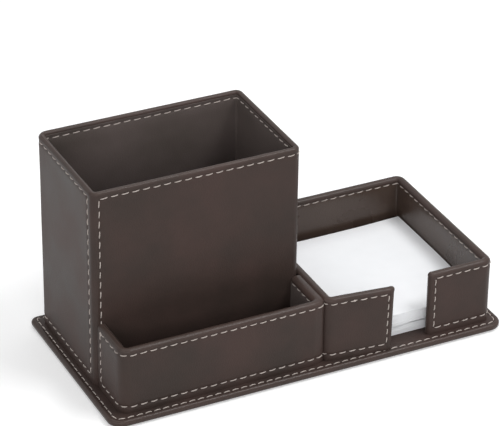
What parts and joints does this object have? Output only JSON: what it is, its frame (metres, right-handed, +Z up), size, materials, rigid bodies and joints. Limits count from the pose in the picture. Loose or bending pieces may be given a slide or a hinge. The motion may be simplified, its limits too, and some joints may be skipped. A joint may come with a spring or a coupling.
{
  "type": "desk organiser with memo tray, card tray and pen cup",
  "caption": "Stitched leatherette desk organiser: a flat base with a tall pen cup, a low card tray before it and a square memo tray with a finger gap.",
  "frame": {"origin": "middle of the underside of the base, on the desk", "axes": "+X to the right of a person who faces the organiser, +Y to its back, +Z up"},
  "size_m": [0.21, 0.1036, 0.1086],
  "materials": {
    "leatherette": "satin",
    "lining": "matt",
    "board": "matt",
    "felt": "matt",
    "paper": "matt"
  },
  "bodies": {
    "organiser": {"base_cover": "leatherette", "pen_cup_cover": "leatherette", "card_tray_cover": "leatherette", "memo_tray_cover": "leatherette", "pen_cup_lining": "lining", "card_tray_lining": "lining", "memo_tray_lining": "lining", "pen_cup_floor": "lining", "base_board": "board", "pen_cup_board_front": "board", "pen_cup_board_left": "board", "pen_cup_board_back": "board", "pen_cup_board_right": "board", "card_tray_board_right": "board", "card_tray_board_front": "board", "card_tray_board_left": "board", "memo_tray_board_left_wing": "board", "memo_tray_board_left": "board", "memo_tray_board_back": "board", "memo_tray_board_right": "board", "memo_tray_board_right_wing": "board", "base_felt": "felt"},
    "memo_stack": {"memo_sheets": "paper"}
  },
  "joints": [
    {"name": "memo_sheets_lift", "type": "slide", "parent": "organiser", "child": "memo_stack", "axis": [0, 0, 1], "range_m": [0, 0.04]}
  ]
}
